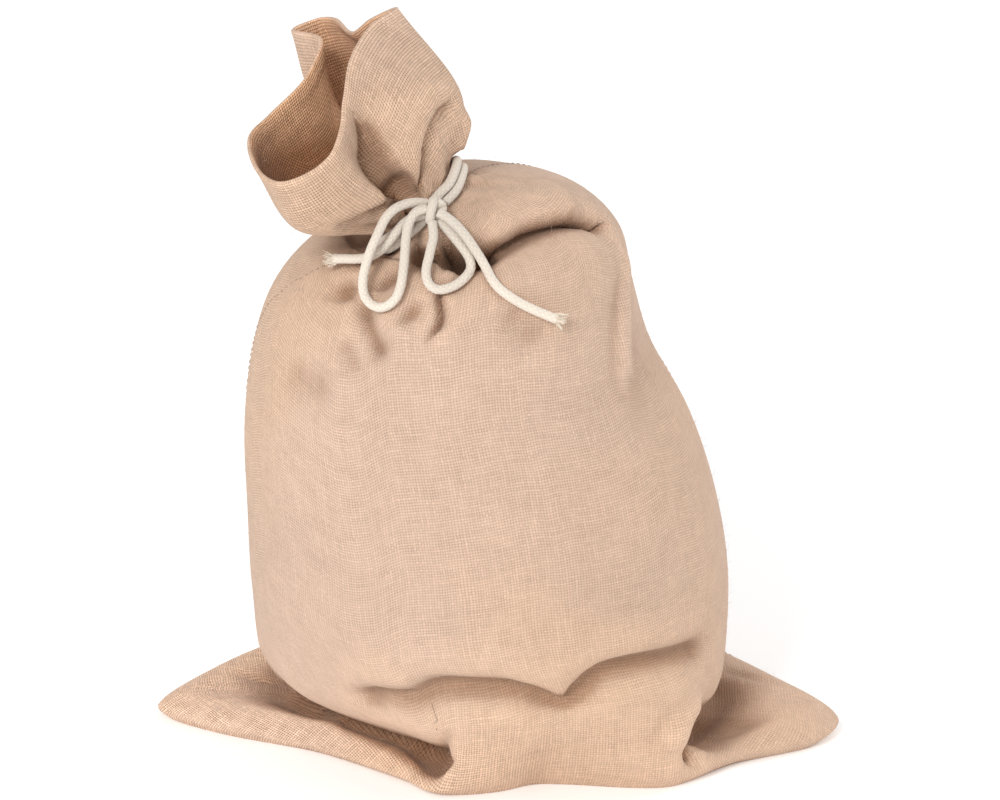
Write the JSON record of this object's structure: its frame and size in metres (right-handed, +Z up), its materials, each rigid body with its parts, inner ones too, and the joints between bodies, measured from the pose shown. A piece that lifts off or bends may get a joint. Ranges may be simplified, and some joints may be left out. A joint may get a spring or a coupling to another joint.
{
  "type": "burlap sack",
  "caption": "Filled burlap sack standing on its sewn bottom, eared at both corners, gathered at the neck and tied with a cotton cord in a bow.",
  "frame": {"origin": "middle of the sack's box on the surface it stands on", "axes": "+Z up; +X along the bottom seam, towards the right ear; -Y towards the front, where the bow is"},
  "size_m": [0.5919, 0.363, 0.64],
  "materials": {
    "jute": "matt woven jute, natural colour",
    "cotton": "matt braided cotton cord, unbleached"
  },
  "bodies": {
    "root": {"sack_cloth": "jute", "tie_wrap": "cotton", "tie_knot": "cotton", "bow_loop_left": "cotton", "bow_loop_right": "cotton", "tail_left": "cotton", "tail_right": "cotton"}
  },
  "joints": []
}
